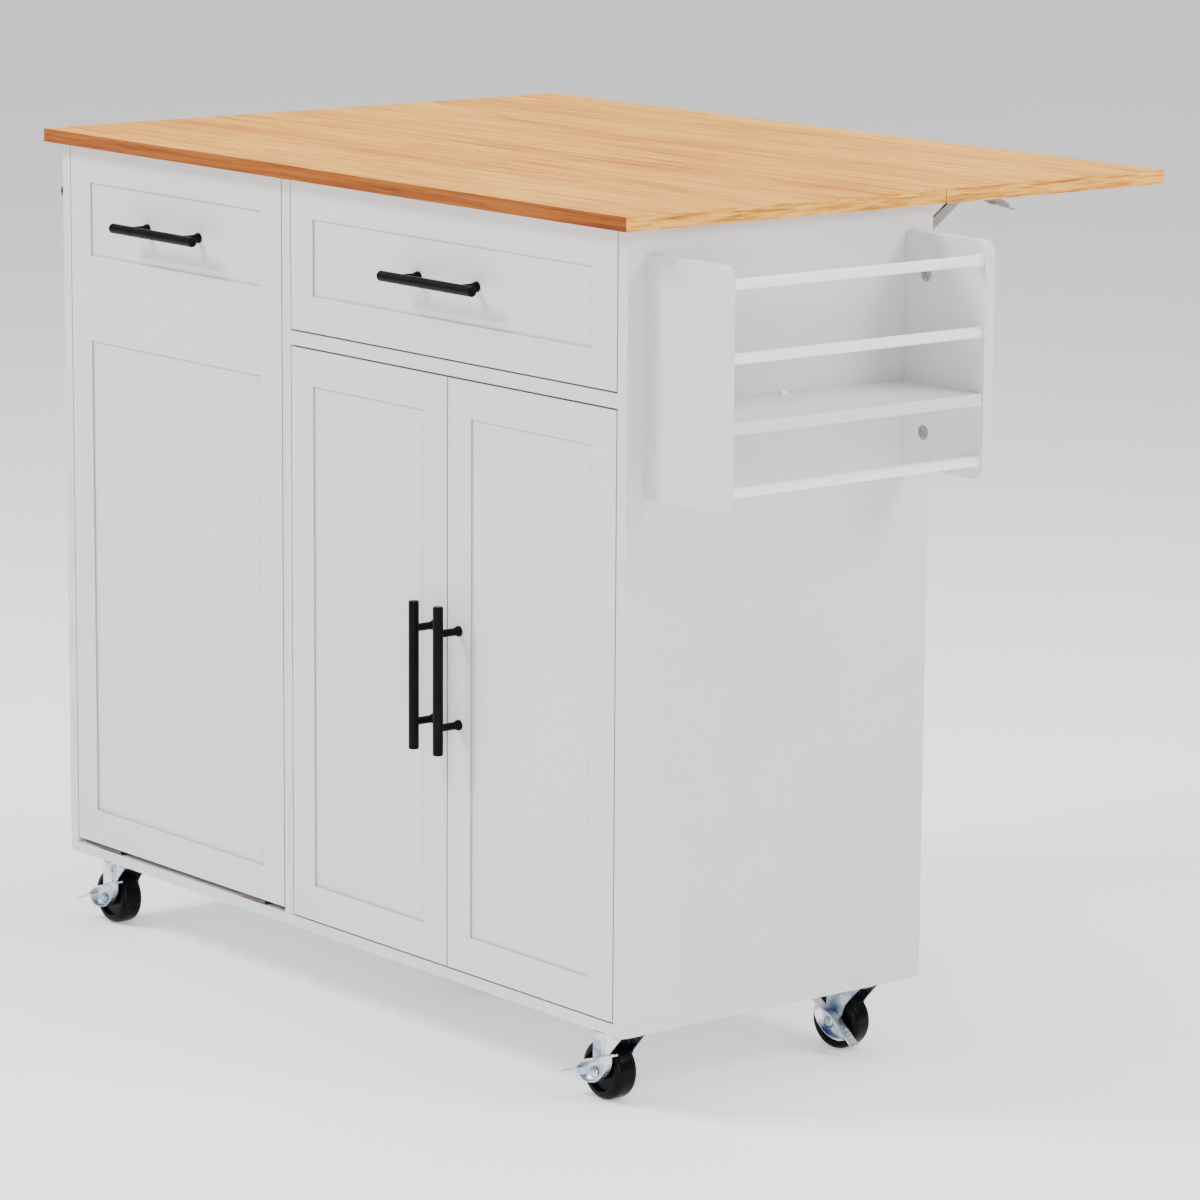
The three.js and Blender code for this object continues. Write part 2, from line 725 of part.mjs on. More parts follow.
function casterPlate(x, y) {
  const top = casterHeight - seam;
  const low = top - plateThickness;
  return joined(
    block(x - plateLength / 2, x + plateLength / 2, y - plateWidth / 2, y + plateWidth / 2, low, top),
    bar([x, y, low - raceHeight], [x, y, low + plateThickness / 2], raceRadius, roundSegments));
}

// The wheel turns about Y. Its flats touch the circle of its radius, and one of them lies below.
function wheel() {
  const r = wheelRadius / Math.cos(Math.PI / roundSegments);
  const half = wheelWidth / 2;
  const bore = axleRadius + axleClearance;
  const hub = bore * 2.2;
  const rim = wheelRadius * 0.78;
  const web = half * 0.6;
  const round = half * 0.45;
  const shoulder = r - round * 0.3;
  const profile = [
    [bore, -half], [hub, -half], [hub, -web], [rim, -web], [rim + round / 2, -half * 0.94],
    [shoulder, -half + round], [r, -half / 4], [r, half / 4], [shoulder, half - round],
    [rim + round / 2, half * 0.94], [rim, web], [hub, web], [hub, half], [bore, half], [bore, -half],
  ].map(([x, y]) => new THREE.Vector2(x, y));
  return new THREE.LatheGeometry(profile, roundSegments, Math.PI / roundSegments);
}

// Fork and axle. The swivel's axis is x = 0, and the wheel trails behind it, towards -X.
function fork(braked) {
  const axleX = -casterTrail;
  const axleZ = wheelRadius;
  const nose = forkNose - forkCorner;
  const leg = new THREE.Shape();
  leg.moveTo(axleX - forkTail, forkTop);
  leg.lineTo(axleX - forkTail, axleZ);
  leg.absarc(axleX - forkTail + forkEye, axleZ, forkEye, Math.PI, 1.75 * Math.PI);
  leg.lineTo(axleX + forkBend, axleZ + forkBendRise);
  leg.quadraticCurveTo(axleX + forkBend, axleZ + 1.5 * forkBendRise, nose, forkTop - forkSheet);
  leg.lineTo(nose, forkTop);
  const head = new THREE.Shape();
  head.moveTo(axleX - forkTail, -legOutside);
  head.lineTo(nose, -legOutside);
  head.absarc(nose, forkCorner - legOutside, forkCorner, -Math.PI / 2, 0);
  head.absarc(nose, legOutside - forkCorner, forkCorner, 0, Math.PI / 2);
  head.lineTo(axleX - forkTail, legOutside);
  const leverRoom = braked ? brakeSheet + 2 * pinClearance : pinClearance;
  const boltStart = -legOutside - leverRoom;
  return joined(
    frontProfile(leg, -legOutside, -legInside),
    frontProfile(leg, legInside, legOutside),
    plan(head, forkTop - forkSheet, forkTop),
    bar([axleX, boltStart - axleHeadThickness, axleZ], [axleX, legOutside, axleZ], axleRadius),
    bar([axleX, boltStart - axleHeadThickness, axleZ], [axleX, boltStart, axleZ], axleHeadRadius),
    bar(
      [axleX, legOutside - forkSheet / 2, axleZ], [axleX, legOutside + axleHeadThickness, axleZ],
      axleHeadRadius, 6));
}

// The brake pedal rocks on the axle outside the fork: a cranked strip over a shallow cup.
// Its outlines are drawn round the axle, from the strip's low tip to its high one.
const pedalStrip = [[-43, -8.6], [-25, -1.6], [-19, 2.6], [-8, 10.4], [-3, 12.6], [12, 17.2], [35, 24.2]];
const pedalCup = [
  [-24, 0.1], [-21, -7.5], [-14, -11.5], [-6, -11.7], [5, -9.5], [12, -6], [19, 0.5], [23.5, 7.5], [25.5, 14],
  [25.5, 22.3], [12, 18.2], [-3, 13.6], [-8, 11.4], [-19, 3.6],
];
const pedalHollow = [
  [-17, -0.5], [-13, -8], [-5.5, -9], [4, -7], [10.5, -4], [16.5, 1.5], [20.5, 8], [22.5, 14], [22.5, 17.5],
  [12, 14.5], [-2, 9.8], [-7, 7.6],
];

function brakePedal() {
  const near = -legOutside - pinClearance;
  const rim = near - brakeSheet - brakeRim;
  const upperEdge = pedalStrip.map(([x, z]) => [x, z + brakeSheet]).reverse();
  const strip = frontProfile(outline([...pedalStrip, ...upperEdge]), near - brakeStripWidth, near);
  const cup = frontProfile(outline(pedalCup), rim, near);
  const hollow = frontProfile(outline(pedalHollow), rim - brakeRim, near - brakeSheet);
  const bore = bar([0, rim, 0], [0, near + 1, 0], axleRadius + pinClearance);
  return cut(joined(strip, cup), hollow, bore);
}

function casters() {
  const group = new THREE.Group();
  for (const [name, [x, y]] of Object.entries(swivels)) {
    place(group, `${name}_caster_plate`, casterPlate(x, y), finishes.zinc());
    const swivel = new THREE.Group();
    swivel.position.set(x, y, 0);
    swivel.rotation.z = THREE.MathUtils.degToRad(casterTurns[name]);
    group.add(swivel);
    const braked = name !== 'middle';
    place(swivel, `${name}_caster_fork`, fork(braked), finishes.zinc());
    const tyre = place(swivel, `${name}_caster_wheel`, wheel(), finishes.wheel());
    tyre.position.set(-casterTrail, 0, wheelRadius);
    if (braked) {
      const pedal = place(swivel, `${name}_brake_pedal`, brakePedal(), finishes.zinc());
      pedal.position.copy(tyre.position);
      pedal.rotation.y = THREE.MathUtils.degToRad(pedalTurns[name]);
    }
  }
  return group;
}

// ---- The whole island -----------------------------------------------------------------------

const island = new THREE.Group();
island.add(
  body(), trashHinges(), trashDoor(), drawer(),
  cupboardDoor('left', fronts.leftDoor), cupboardDoor('right', fronts.rightDoor),
  spiceRack(), towelBar(), dropLeaf(), casters());

// The origin is the middle of the footprint, on the floor.
const extent = new THREE.Box3().setFromObject(island, true);
island.position.set(-(extent.min.x + extent.max.x) / 2, -(extent.min.y + extent.max.y) / 2, -extent.min.z);

export default island;
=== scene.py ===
# %% [markdown]
# # A drop leaf kitchen island
# The island is a painted cabinet on casters under an oak-look worktop. Its solids come ready
# made, in metres. This lesson gives them their finishes, and replaces the turned and bent metal
# pieces by smoother meshes of the same size, in the same place.
# The first cell loads the frame.

# %% Load the frame
import json
import math

import bmesh
import bpy
from mathutils import Matrix, Vector


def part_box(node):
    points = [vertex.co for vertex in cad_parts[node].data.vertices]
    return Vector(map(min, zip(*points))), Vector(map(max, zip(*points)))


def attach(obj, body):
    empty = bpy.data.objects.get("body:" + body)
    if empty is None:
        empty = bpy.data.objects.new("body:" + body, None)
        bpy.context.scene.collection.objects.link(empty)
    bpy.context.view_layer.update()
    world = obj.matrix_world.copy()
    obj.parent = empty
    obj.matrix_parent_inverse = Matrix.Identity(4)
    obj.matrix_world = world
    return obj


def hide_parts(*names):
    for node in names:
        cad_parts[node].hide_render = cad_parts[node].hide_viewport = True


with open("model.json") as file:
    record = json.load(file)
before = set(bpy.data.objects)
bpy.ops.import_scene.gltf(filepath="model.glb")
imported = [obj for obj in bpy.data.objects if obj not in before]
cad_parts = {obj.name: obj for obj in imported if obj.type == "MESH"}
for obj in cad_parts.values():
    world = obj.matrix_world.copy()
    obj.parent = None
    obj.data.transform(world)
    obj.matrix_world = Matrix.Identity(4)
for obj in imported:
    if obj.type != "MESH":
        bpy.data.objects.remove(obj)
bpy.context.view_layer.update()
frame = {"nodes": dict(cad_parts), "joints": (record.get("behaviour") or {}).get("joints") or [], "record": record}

MM = 0.001
nodes = frame["nodes"]

# %% [markdown]
# ## Writing materials as sums
# A material is a small graph of nodes. It could be wired node by node, but sums are easier to
# read: `Value` wraps one output socket, and each operator adds one Math node. A plain number in
# a sum becomes the other input of that node.


# %% A socket that can be added and multiplied
class Value:
    """One output socket that takes part in sums."""

    def __init__(self, finish, socket):
        self.finish = finish
        self.socket = socket

    def math(self, operation, *others):
        sockets = dict(enumerate([self, *others]))
        return self.finish.node("ShaderNodeMath", {"operation": operation}, sockets)

    def __add__(self, other):
        return self.math("ADD", other)

    def __sub__(self, other):
        return self.math("SUBTRACT", other)

    def __mul__(self, other):
        return self.math("MULTIPLY", other)


print("a socket can be added, subtracted and multiplied")

# %% [markdown]
# ## One method for every other node
# `Finish` owns a material. Its `node` method takes a node's type, its settings, and the numbers
# or links of its sockets, and gives back one output. The helpers after it are the few patterns
# that the finishes here share: a noise, a ramp of colours, a mix of two colours, and a bump.


# %% A material with a node method
class Finish:
    """A material, the nodes in it, and its main shader."""

    def __init__(self, name, metallic=0.0, specular=0.5):
        self.material = bpy.data.materials.new(name)
        self.material.use_nodes = True
        self.tree = self.material.node_tree
        self.shader = next(n for n in self.tree.nodes if n.type == "BSDF_PRINCIPLED")
        self.shader.inputs["Metallic"].default_value = metallic
        self.shader.inputs["Specular IOR Level"].default_value = specular
        self.place = Value(self, self.tree.nodes.new("ShaderNodeTexCoord").outputs["Object"])

    def feed(self, socket, value):
        if isinstance(value, Value):
            self.tree.links.new(value.socket, socket)
        else:
            socket.default_value = value

    def node(self, kind, settings, sockets, output=0):
        made = self.tree.nodes.new(kind)
        stops = settings.get("stops")
        for key, setting in settings.items():
            if key != "stops":
                setattr(made, key, setting)
        if stops:
            ramp = made.color_ramp.elements
            while len(ramp) < len(stops):
                ramp.new(0.5)
            for element, (position, colour) in zip(ramp, stops):
                element.position = position
                element.color = (*colour, 1.0)
        for key, value in sockets.items():
            self.feed(made.inputs[key], value)
        return Value(self, made.outputs[output])

    def stretched(self, factors):
        return self.node("ShaderNodeMapping", {}, {0: self.place, 3: factors})

    def noise(self, scale, detail=3.0, where=None, rough=0.5, distortion=0.0):
        sockets = {"Scale": scale, "Detail": detail, "Roughness": rough, "Distortion": distortion}
        return self.node("ShaderNodeTexNoise", {}, {"Vector": where or self.place, **sockets})

    def facing(self, axis):
        """How far the surface faces along one of the object's axes, from -1 to 1."""
        normal = self.node("ShaderNodeTexCoord", {}, {}, "Normal")
        return self.node("ShaderNodeSeparateXYZ", {}, {0: normal}, axis)

    def ramp(self, value, *stops):
        return self.node("ShaderNodeValToRGB", {"stops": stops}, {0: value})

    def between(self, value, low, high):
        return self.node("ShaderNodeMapRange", {}, {0: value, 1: low, 2: high})

    def mixed(self, factor, first, second, blend="MIX"):
        settings = {"data_type": "RGBA", "blend_type": blend}
        return self.node("ShaderNodeMix", settings, {0: factor, 6: first, 7: second}, 2)

    def bump(self, height, depth):
        sockets = {"Height": height, "Distance": depth, "Strength": 1.0}
        self.surface("Normal", self.node("ShaderNodeBump", {}, sockets))

    def surface(self, socket, value):
        self.feed(self.shader.inputs[socket], value)


def grey(level):
    return (level, level, level)


def rgba(red, green, blue):
    return (red, green, blue, 1.0)


print("patterns:", [name for name in vars(Finish) if not name.startswith("_")])

# %% [markdown]
# ## Painted board
# The cabinet is board with a light grey-white satin face. A flat colour looks like plastic, so
# three things vary a little: a slow mottling of the colour, the roughness, and a very fine
# dimpling, which a bump gives without adding faces. One function makes the outer board, the
# slightly cooler fronts and the plain inner board. On the fronts, the walls of the grooves are
# darkened with painted shade, for the shadow that falls in the grooves. The same painted shade
# lands on the fronts' side edges, which also face neither forwards nor backwards.


# %% Painted boards
DARK_SHARE = 0.955  # the darkest paint, as a share of the lightest


def painted_board(name, light, rough, dimple, groove_shade=1.0):
    """The last argument is a painted shade: it darkens what faces neither forwards nor backwards, the walls of the
    grooves and the board's edges.
    """
    finish = Finish(name)
    slow = finish.noise(5.0, 4.0)
    cloth = finish.noise(160.0, 2.0, finish.stretched((1.0, 1.0, 0.35)))
    dark = [level * DARK_SHARE for level in light]
    paint = finish.ramp(slow * 0.7 + cloth * 0.3, (0.38, dark), (0.62, light))
    facing = finish.facing("Y")
    # painted shade: the mask picks the groove walls and the edges, and the shade level is multiplied in there
    wall = finish.between(facing * facing, 0.6, 0.1)
    shade = rgba(groove_shade, groove_shade, groove_shade)
    finish.surface("Base Color", finish.mixed(wall, paint, shade, "MULTIPLY"))
    finish.surface("Roughness", finish.noise(36.0, 3.0) * 0.16 + (rough - 0.08))
    finish.bump(finish.noise(1100.0, 2.0) + cloth * 0.5, dimple)
    return finish.material


finishes = {
    "carcass": painted_board("painted_carcass", (0.655, 0.655, 0.665), 0.5, 0.00006),
    # the last number is painted shade for the grooves and edges of the fronts
    "front_board": painted_board("painted_fronts", (0.672, 0.672, 0.702), 0.46, 0.00008, 0.62),
    "inner_board": painted_board("white_inner_board", (0.78, 0.78, 0.78), 0.55, 0.00005),
}
print("boards:", sorted(finishes))

# %% [markdown]
# ## Oak
# The worktop and the leaf look like oak, with the grain along the length. A picture of wood
# would repeat and blur, so the wood is made of noises that are stretched far along the grain: a
# slow one for the light and dark bands, a fast one for the streaks, and a very fine one for the
# pores, which are also pressed in a little. The grain of the short edges runs the other way, and
# the long edges are a darker red, so the material asks which way the surface faces.


# %% Oak look
OAK_STOPS = (
    (0.38, (0.430, 0.130, 0.010)), (0.45, (0.640, 0.260, 0.028)),
    (0.52, (0.800, 0.375, 0.052)), (0.60, (0.890, 0.475, 0.095)))
OAK_PORE = rgba(0.26, 0.06, 0.004)
OAK_BAND = rgba(0.37, 0.22, 0.15)  # multiplies the colour of the long edges


def oak_grain(finish, axis, band_share, short=1.0, thin=1.0):
    """The depth of the grain and its pores. The grain runs along the given axis."""

    def strands(along, across):
        factors = [across * thin] * 3
        factors[axis] = along * short
        return finish.stretched(factors)

    bands = finish.noise(1.0, 5.0, strands(0.9, 11.0), 0.62, 0.35)
    streaks = finish.noise(1.0, 6.0, strands(3.2, 150.0), 0.62, 0.2)
    pores = finish.noise(1.0, 3.0, strands(14.0, 700.0), 0.7)
    depth = bands * band_share + streaks * (0.92 - band_share)
    return depth, finish.between(pores, 0.54, 0.66)


def oak_laminate():
    finish = Finish("oak_laminate", specular=0.18)
    wander = finish.noise(2.2, 3.0) * 0.08
    depth, pores = oak_grain(finish, 0, 0.26, 1.5, 1.3)
    end_depth, end_pores = oak_grain(finish, 1, 0.10, 6.0, 2.2)
    long_grain = finish.ramp(depth + wander, *OAK_STOPS)
    end_grain = finish.ramp(end_depth + wander, *OAK_STOPS)
    long_way = finish.mixed(pores * 0.5, long_grain, OAK_PORE)
    short_way = finish.mixed(end_pores * 0.5, end_grain, OAK_PORE)
    sideways, forwards = finish.facing("X"), finish.facing("Y")
    short_edge = finish.between(sideways * sideways, 0.4, 0.8)
    long_edge = finish.between(forwards * forwards, 0.4, 0.8)
    banded = finish.mixed(long_edge, long_way, OAK_BAND, "MULTIPLY")
    finish.surface("Base Color", finish.mixed(short_edge, banded, short_way))
    finish.surface("Roughness", finish.noise(24.0, 3.0) * 0.14 + pores * 0.14 + 0.40)
    finish.bump(depth * 0.6 - pores, 0.00012)
    return finish.material


finishes["oak_top"] = oak_laminate()
print("oak nodes:", len(finishes["oak_top"].node_tree.nodes))

# %% [markdown]
# ## Smooth coats
# The pulls and the towel bar have a satin black coat with a fine orange peel, and the rods of
# the rack a satin white one. One flat colour would do from afar, but up close it looks like a
# drawing. So a noise mixes two close levels, a second one varies the roughness, and a bump gives
# the peel. The black coat mirrors very little, or the lamps would turn it grey.


# %% Black coat and white coat
def powder_coat(name, colour, lighter, rough, specular=0.5):
    finish = Finish(name, specular=specular)
    tint = finish.ramp(finish.noise(60.0, 3.0), (0.35, colour), (0.7, lighter))
    finish.surface("Base Color", tint)
    finish.surface("Roughness", finish.noise(90.0, 2.0) * 0.16 + (rough - 0.08))
    finish.bump(finish.noise(1500.0, 2.0), 0.00005)
    return finish.material


finishes["black_metal"] = powder_coat(
    "black_powder_coat", grey(0.0020), grey(0.0045), 0.42, 0.06)
finishes["rod_white"] = powder_coat("white_powder_coat", grey(0.84), grey(0.88), 0.36)
print("coats: black_metal, rod_white")

# %% [markdown]
# ## Plated sheet
# The casters and the door hinges are zinc plated sheet, whose bluish tints come from the plating.
# The folding brackets are a plainer grey, and the hinges under the trash door are a dark bronze.
# All three are metal, which shows mostly what it mirrors, so what makes them look real is an
# uneven roughness: a blotchy noise, and a second one stretched into the fine lines of rolling.


# %% Zinc, grey metal and bronze
def plated(name, stops, rough, spread, scratch):
    finish = Finish(name, metallic=1.0)
    tint = finish.noise(42.0, 4.0, distortion=0.6)
    lines = finish.noise(1.0, 3.0, finish.stretched((60.0, 60.0, 1400.0)))
    finish.surface("Base Color", finish.ramp(tint, *stops))
    grain = finish.noise(150.0, 4.0) * spread + lines * 0.08
    finish.surface("Roughness", grain + (rough - spread / 2))
    finish.bump(lines + finish.noise(500.0, 2.0) * 0.5, scratch)
    return finish.material


ZINC_TINTS = [
    (0.34, (0.20, 0.27, 0.38)), (0.46, (0.40, 0.46, 0.54)), (0.56, (0.64, 0.67, 0.70)),
    (0.68, (0.76, 0.76, 0.74))]
finishes["zinc"] = plated("zinc_plate", ZINC_TINTS, 0.24, 0.2, 0.00004)
finishes["bracket_steel"] = plated(
    "bracket_grey", [(0.3, (0.33, 0.33, 0.34)), (0.7, (0.42, 0.42, 0.43))], 0.38, 0.16, 0.00003)
finishes["bronze"] = plated(
    "bronze_hinge", [(0.3, (0.12, 0.085, 0.065)), (0.7, (0.20, 0.145, 0.11))], 0.4, 0.2, 0.00003)
print("metals: zinc, bracket_steel, bronze")

# %% [markdown]
# ## Moulded black
# The wheels are moulded in black, with a soft shine and a little dust. The dust is the high part
# of a noise. Where it lies, the colour is a touch lighter and the shine is duller, so one value
# drives both, and they stay in step.


# %% Caster wheels
def moulded_black():
    finish = Finish("moulded_black", specular=0.07)
    dust = finish.between(finish.noise(70.0, 5.0, rough=0.65), 0.54, 0.80)
    clean, dusty = rgba(0.0020, 0.0020, 0.0027), rgba(0.03, 0.029, 0.028)
    finish.surface("Base Color", finish.mixed(dust * 0.10, clean, dusty))
    finish.surface("Roughness", finish.noise(40.0, 4.0) * 0.16 + dust * 0.16 + 0.16)
    finish.bump(finish.noise(320.0, 3.0), 0.00006)
    return finish.material


finishes["wheel_black"] = moulded_black()
print("finishes:", len(finishes))

# %% [markdown]
# ## Dressing the solids
# The record of the solids lists a material slot per node. Assigning the finishes by slot keeps
# the two in step. Boards and sheet also get a bevel modifier of a fraction of a millimetre,
# because a perfectly sharp edge catches no light and looks drawn. A modifier leaves the solid's
# own mesh as it is.

# %% Assign the finishes and break the edges
slot_of = {entry["node"]: entry["material_slot"] for entry in frame["record"]["subparts"]}
EDGES = {  # width of the broken edge, in millimetres
    "carcass": 0.6, "front_board": 0.6, "inner_board": 0.6, "oak_top": 0.6,
    "zinc": 0.3, "bracket_steel": 0.3, "bronze": 0.15}
for name, obj in nodes.items():
    slot = slot_of[name]
    obj.data.materials.clear()
    obj.data.materials.append(finishes[slot])
    if slot in EDGES:
        bevel = obj.modifiers.new("broken_edge", "BEVEL")
        bevel.width = EDGES[slot] * MM
        bevel.segments = 2
        bevel.limit_method = "ANGLE"
        bevel.harden_normals = True
print("dressed:", len(slot_of), "solids")

# %% [markdown]
# ## A small workshop
# The metal pieces are made like the real ones: turned round an axis, or cut from sheet. `Shape`
# gathers such forms in one mesh. Each form is drawn round its own Z axis and put in place by a
# matrix, so a post, a rivet and a wheel are all the same few lines. Ready-made cylinders would
# need a call and a join for each step of a profile.


# %% Turned and cut forms
def along(start, end):
    """The place of a form whose Z axis runs from start to end."""
    direction = Vector(end) - Vector(start)
    return Matrix.Translation(start) @ direction.to_track_quat("Z", "Y").to_matrix().to_4x4()


class Shape:
    """One mesh made of turned and cut forms."""

    def __init__(self):
        self.bm = bmesh.new()

    def turned(self, profile, place, steps=40):
        """profile holds (radius, height) pairs. A radius of 0 closes the form on its axis."""
        rings = []
        turns = [2 * math.pi * i / steps for i in range(steps)]
        for radius, height in profile:
            used = turns if radius else turns[:1]
            spots = [Vector((radius * math.cos(t), radius * math.sin(t), height)) for t in used]
            rings.append([self.bm.verts.new(place @ spot) for spot in spots])
        for low, high in zip(rings, rings[1:]):
            for i in range(steps):
                j = (i + 1) % steps
                corners = [
                    low[i % len(low)], low[j % len(low)],
                    high[j % len(high)], high[i % len(high)]]
                unique = list(dict.fromkeys(corners))
                if len(unique) > 2:
                    self.bm.faces.new(unique)
        return self

    def rod(self, start, end, radius, chamfer=0.0, steps=32):
        length = (Vector(end) - Vector(start)).length
        c = chamfer or radius * 0.02
        ends = [(0, 0), (radius - c, 0), (radius, c),
                (radius, length - c), (radius - c, length), (0, length)]
        return self.turned(ends, along(start, end), steps)

    def cut(self, outline, low, high, place):
        """outline holds (x, y) pairs; the sheet lies between the heights low and high."""
        bottom = [self.bm.verts.new(place @ Vector((x, y, low))) for x, y in outline]
        top = [self.bm.verts.new(place @ Vector((x, y, high))) for x, y in outline]
        self.bm.faces.new(list(reversed(bottom)))
        self.bm.faces.new(top)
        for i in range(len(outline)):
            j = (i + 1) % len(outline)
            self.bm.faces.new([bottom[i], bottom[j], top[j], top[i]])
        return self

    def made(self, name, slot, body, replaced=(), bevel=0.0, smooth=40.0):
        """Turns the mesh into a piece that rides on a body and may stand for solids."""
        bmesh.ops.recalc_face_normals(self.bm, faces=self.bm.faces)
        mesh = bpy.data.meshes.new(name)
        self.bm.to_mesh(mesh)
        self.bm.free()
        mesh.polygons.foreach_set("use_smooth", [True] * len(mesh.polygons))
        mesh.set_sharp_from_angle(angle=math.radians(smooth))
        obj = bpy.data.objects.new(name, mesh)
        bpy.context.scene.collection.objects.link(obj)
        mesh.materials.append(finishes[slot])
        if bevel:
            edge = obj.modifiers.new("edge", "BEVEL")
            edge.width, edge.segments, edge.limit_method = bevel, 2, "ANGLE"
            edge.harden_normals = True
        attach(obj, body)
        if replaced:
            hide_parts(*replaced)
        return obj


def arc(centre, radius, start, end, steps=10):
    """Points on a circle from one angle to another, in degrees."""
    turns = [math.radians(start + (end - start) * i / steps) for i in range(steps + 1)]
    return [(centre[0] + radius * math.cos(t), centre[1] + radius * math.sin(t)) for t in turns]


def rounded(x0, x1, y0, y1, radius):
    """A rectangle with rounded corners."""
    corners = (
        (x1 - radius, y1 - radius, 0), (x0 + radius, y1 - radius, 90),
        (x0 + radius, y0 + radius, 180), (x1 - radius, y0 + radius, 270))
    return [point for x, y, start in corners for point in arc((x, y), radius, start, start + 90, 5)]


def points(*pairs):
    """Points given in millimetres."""
    return [(x * MM, y * MM) for x, y in pairs]


# Sheet is drawn in one of three planes: flat on XY, upright facing the front, or facing the side.
FLAT = Matrix.Identity(4)
FACING_FRONT = Matrix(((1, 0, 0, 0), (0, 0, -1, 0), (0, 1, 0, 0), (0, 0, 0, 1)))
FACING_SIDE = Matrix(((0, 0, 1, 0), (1, 0, 0, 0), (0, 1, 0, 0), (0, 0, 0, 1)))
print("forms:", [name for name in vars(Shape) if not name.startswith("_")])

# %% [markdown]
# ## Pull handles
# Each pull is a straight bar on two posts. The bars have flat ends with a small chamfer, and
# the posts widen to a foot on the face. The handle solid could be smoothed instead, but its
# posts have few sides, so it is turned again. Its box gives the size and the place of the bar,
# and the longer side of the box tells which way the bar runs.

# %% Four pull handles
POST_SPACING = 100 * MM
BAR_RADIUS = 5.5 * MM
BAR_CHAMFER = 0.7 * MM
POST_RADIUS = 4.1 * MM
FOOT_RADIUS = 5.6 * MM


def pull_handle(node, body):
    low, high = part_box(node)
    middle = (low + high) / 2
    upright = high.z - low.z > high.x - low.x
    run = Vector((0, 0, 1)) if upright else Vector((1, 0, 0))
    half = (high.z - low.z if upright else high.x - low.x) / 2
    bar = Vector((middle.x, low.y + BAR_RADIUS, middle.z))
    shape = Shape().rod(bar - run * half, bar + run * half, BAR_RADIUS, BAR_CHAMFER, 40)
    reach = high.y - bar.y
    flare = [
        (0, 0), (FOOT_RADIUS, 0), (FOOT_RADIUS, 2.6 * MM), (FOOT_RADIUS - 0.5 * MM, 3.2 * MM),
        (POST_RADIUS + 0.3 * MM, 5 * MM), (POST_RADIUS, 8 * MM), (POST_RADIUS, reach), (0, reach)]
    for side in (-1, 1):
        at = bar + run * side * POST_SPACING / 2
        foot = Vector((at.x, high.y, at.z))
        shape.turned(flare, along(foot, at), 28)
    return shape.made(node + "_turned", "black_metal", body, [node])


for node, body in (
    ("trash_door_handle", "tilt_door"), ("drawer_handle", "drawer"),
    ("left_door_handle", "cupboard_left_door"), ("right_door_handle", "cupboard_right_door"),
):
    made = pull_handle(node, body)
    print(made.name, [round(v / MM, 1) for v in made.dimensions])

# %% [markdown]
# ## Towel bar
# The towel bar is a tube with a ball on each end, held off the cabinet's side by two posts on
# round flanges. The solid's few sides would show on its bright edge, so it is made again from
# turned forms in one mesh. The ball's profile is half a circle, from its one pole to the other.

# %% Towel bar
BALL = 9.5 * MM
TUBE = 6.5 * MM
POST = 5 * MM
POST_INSET = 32 * MM  # from a ball's middle to the post beside it
BALL_STEPS = 14
FLANGE = points((0, 0), (12.6, 0), (13, 0.5), (13, 2.6), (11.8, 3.7), (7, 4.6), (5, 7))
low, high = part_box("towel_bar")
bar_x, bar_z = low.x + BALL, (low.z + high.z) / 2
bar_y0, bar_y1 = low.y + BALL, high.y - BALL
towel = Shape().rod((bar_x, bar_y0, bar_z), (bar_x, bar_y1, bar_z), TUBE)
turns = [math.pi * i / BALL_STEPS for i in range(1, BALL_STEPS)]
ball_profile = [(BALL * math.sin(t), -BALL * math.cos(t)) for t in turns]
ball_profile = [(0, -BALL), *ball_profile, (0, BALL)]
for y in (bar_y0, bar_y1):
    towel.turned(ball_profile, along((bar_x, y, bar_z), (bar_x, y + 1, bar_z)), 28)
for y in (bar_y0 + POST_INSET, bar_y1 - POST_INSET):
    foot, tip = Vector((high.x, y, bar_z)), Vector((bar_x, y, bar_z))
    reach = (foot - tip).length
    towel.turned([*FLANGE, (POST, reach), (0, reach)], along(foot, tip), 32)
towel.made("towel_bar_turned", "black_metal", "cabinet", ["towel_bar"])
print("towel bar from y", round(bar_y0, 3), "to", round(bar_y1, 3))

# %% [markdown]
# ## Rods of the rack
# Three round rods keep the jars from falling out. Each one is turned with a small chamfer, and
# has a thin collar where it meets a side of the rack. A rod that simply ends in a flat board
# would leave no seam there for the light to find.

# %% Rods of the rack
ROD_RADIUS = 5.7 * MM
ROD_CHAMFER = 0.2 * MM
COLLAR = points((5.5, 0), (7.3, 0), (7.3, 0.6), (6.7, 1.1), (5.5, 1.1), (5.5, 0))
rack_faces = (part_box("rack_front_side")[1].y, 1), (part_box("rack_rear_side")[0].y, -1)
for level in ("lower", "middle", "upper"):
    node = f"rack_{level}_rod"
    low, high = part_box(node)
    x, z = (low.x + high.x) / 2, (low.z + high.z) / 2
    rod = Shape().rod((x, low.y, z), (x, high.y, z), ROD_RADIUS, ROD_CHAMFER)
    for y, inward in rack_faces:
        rod.turned(COLLAR, along((x, y, z), (x, y + inward, z)), 32)
    rod.made(node + "_turned", "rod_white", "cabinet", [node])
print("three rods, each with a collar at both ends")

# %% [markdown]
# ## Casters
# A caster is a plate under the base board, a pressed fork that swivels on a ball race, a wheel
# on a bolt, and on four of them a brake pedal that rocks on the same bolt. They are all drawn
# round their axle, with X forwards, Y along the axle and Z up. The frame's joints tell where
# each axle lies and which way it points, so a caster that is turned is no extra work.

# %% Sizes of a caster, and where each one stands
LEG_INSIDE = 15.4 * MM
LEG_OUTSIDE = 17.6 * MM
HEAD_HIGH = 45 * MM  # top of the fork's head over the axle
HEAD_LOW = 42.4 * MM
PLAY = 0.3 * MM  # between sheets that move on each other
PEDAL_NEAR = LEG_OUTSIDE + PLAY
PEDAL_SHEET = 2 * MM
joints = {joint["name"]: joint for joint in frame["joints"]}


